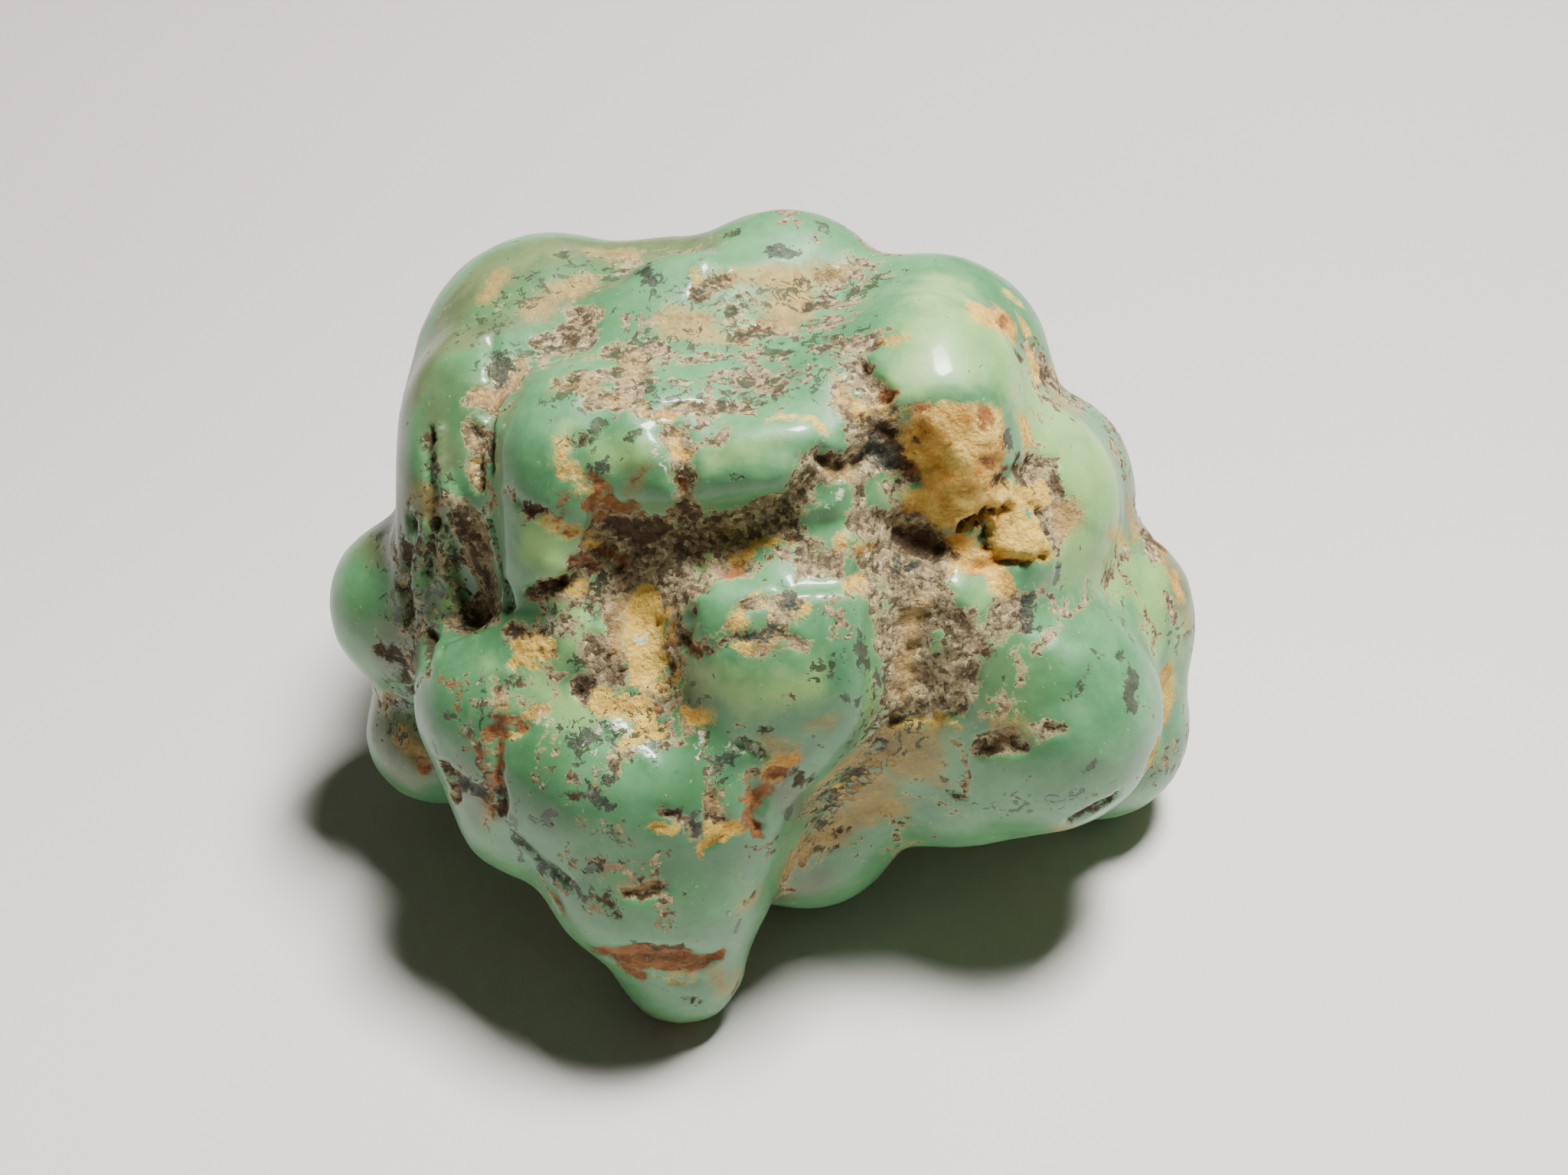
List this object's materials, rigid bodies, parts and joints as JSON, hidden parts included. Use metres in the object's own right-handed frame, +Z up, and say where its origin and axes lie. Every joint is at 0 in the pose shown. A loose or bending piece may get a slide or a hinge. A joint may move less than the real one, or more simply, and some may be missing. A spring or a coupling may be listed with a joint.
{
  "type": "raw turquoise nugget",
  "caption": "Tumbled nugget of raw turquoise in matrix: a nodular green stone with rough brown hollows, a horn at the front and flat spots to rest on.",
  "frame": {"origin": "on the floor, below the centre of the stone's box", "axes": "+X to the viewer's right along the stone's long side, -Y towards the viewer (the horn's side), +Z up"},
  "size_m": [0.0444, 0.0338, 0.0299],
  "materials": {
    "turquoise": "tumbled to a soft gloss on the green knobs, matt and gritty in the brown matrix"
  },
  "bodies": {
    "root": {"turquoise_nugget": "turquoise"}
  },
  "joints": []
}
